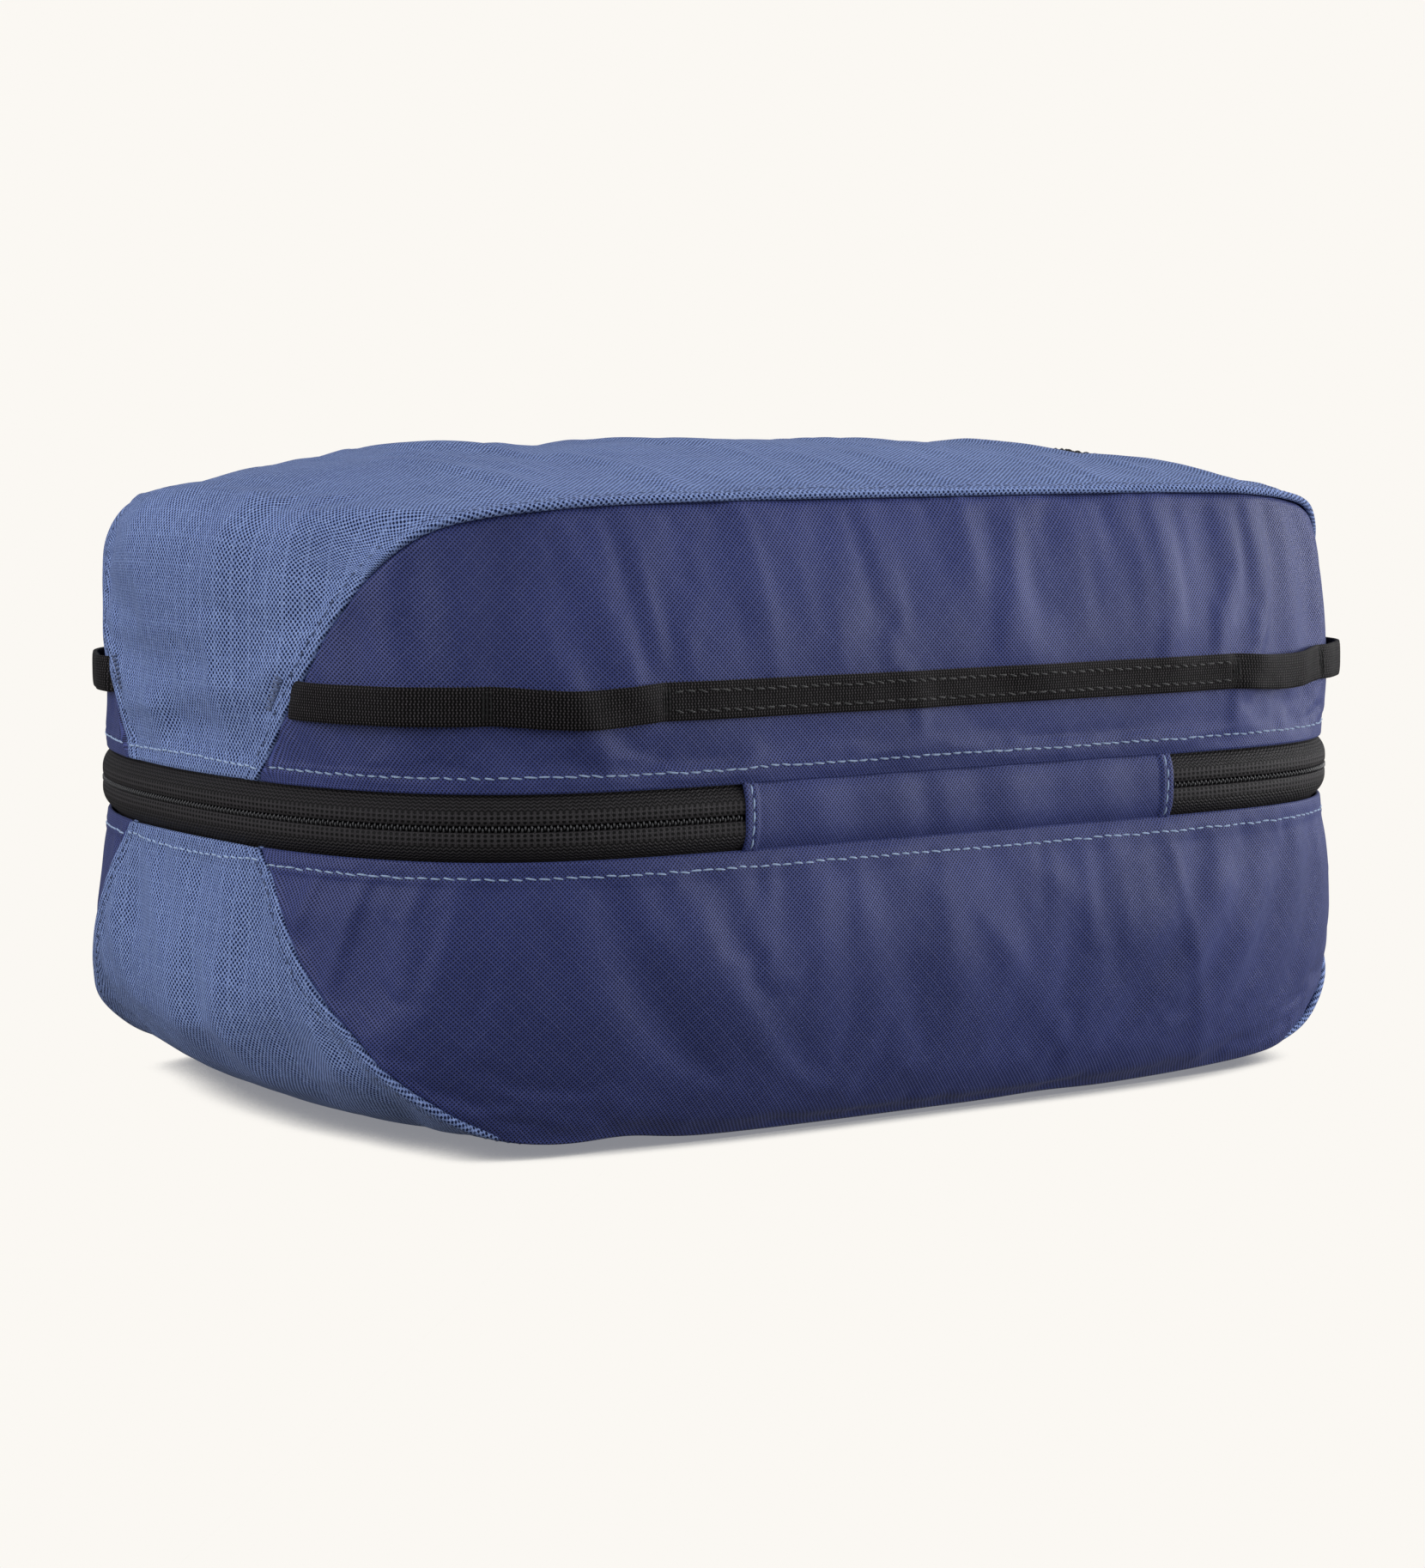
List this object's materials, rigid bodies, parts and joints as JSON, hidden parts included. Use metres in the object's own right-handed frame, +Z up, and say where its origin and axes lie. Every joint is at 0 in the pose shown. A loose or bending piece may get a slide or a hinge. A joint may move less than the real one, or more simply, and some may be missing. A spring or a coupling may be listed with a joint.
{
  "type": "packing cube",
  "caption": "Clamshell fabric packing cube with a short fabric hinge at the front, a zipper round the other three sides, webbing loops on both long walls and a mesh divider.",
  "frame": {"origin": "centre of the flat underside", "axes": "+X along the length towards the grab handle, +Y from the hinged front to the back, +Z up"},
  "size_m": [0.2921, 0.193, 0.1454],
  "materials": {
    "wrap_fabric": "matte coarse ripstop weave, mid blue",
    "side_fabric": "coated weave with a soft sheen, indigo",
    "zipper_tape": "matte ribbed woven tape, black",
    "zipper_coil": "semi matte nylon monofilament, black",
    "webbing": "matte ribbed nylon webbing, black",
    "binding": "matte grosgrain seam tape, near black",
    "slider_metal": "satin black enamel",
    "divider_mesh": "fine open mesh, dark navy"
  },
  "bodies": {
    "base": {"lower_wrap_panel": "wrap_fabric", "lower_front_panel": "side_fabric", "lower_back_panel": "side_fabric", "lower_zipper_tape": "zipper_tape", "lower_zipper_coil": "zipper_coil", "hinge_gusset": "side_fabric", "lower_front_seam_binding": "binding", "lower_back_seam_binding": "binding", "divider_mesh_panel": "divider_mesh", "divider_rear_strip": "side_fabric", "divider_rim_binding": "binding", "divider_front_tape": "zipper_tape", "divider_rear_tape": "zipper_tape"},
    "lid": {"upper_wrap_panel": "wrap_fabric", "upper_front_panel": "side_fabric", "upper_back_panel": "side_fabric", "upper_zipper_tape": "zipper_tape", "upper_zipper_coil": "zipper_coil", "upper_front_seam_binding": "binding", "upper_back_seam_binding": "binding", "front_webbing": "webbing", "back_webbing": "webbing", "end_grab_handle": "webbing"},
    "left_slider": {"left_slider": "slider_metal"},
    "left_pull": {"left_pull": "slider_metal"},
    "right_slider": {"right_slider": "slider_metal"},
    "right_pull": {"right_pull": "slider_metal"},
    "divider_slider": {"divider_slider": "slider_metal"},
    "divider_pull": {"divider_pull": "slider_metal"}
  },
  "joints": [
    {"name": "lid_hinge", "type": "hinge", "parent": "base", "child": "lid", "pos_m": [0, -0.0975, 0.069], "axis": [1, 0, 0], "range_deg": [0, 174]},
    {"name": "left_slide", "type": "slide", "parent": "base", "child": "left_slider", "axis": [-1, 0, 0], "range_m": [0, 0.05]},
    {"name": "left_pull_hinge", "type": "hinge", "parent": "left_slider", "child": "left_pull", "pos_m": [-0.0075, 0.0956, 0.069], "axis": [0, 0, -1], "range_deg": [0, 100]},
    {"name": "right_slide", "type": "slide", "parent": "base", "child": "right_slider", "axis": [1, 0, 0], "range_m": [0, 0.05]},
    {"name": "right_pull_hinge", "type": "hinge", "parent": "right_slider", "child": "right_pull", "pos_m": [0.0075, 0.0956, 0.069], "axis": [0, 0, 1], "range_deg": [0, 100]},
    {"name": "divider_slide", "type": "slide", "parent": "base", "child": "divider_slider", "axis": [1, 0, 0], "range_m": [0, 0.2]},
    {"name": "divider_pull_hinge", "type": "hinge", "parent": "divider_slider", "child": "divider_pull", "pos_m": [-0.1, 0.045, 0.0646], "axis": [0, -1, 0], "range_deg": [0, 160]}
  ]
}
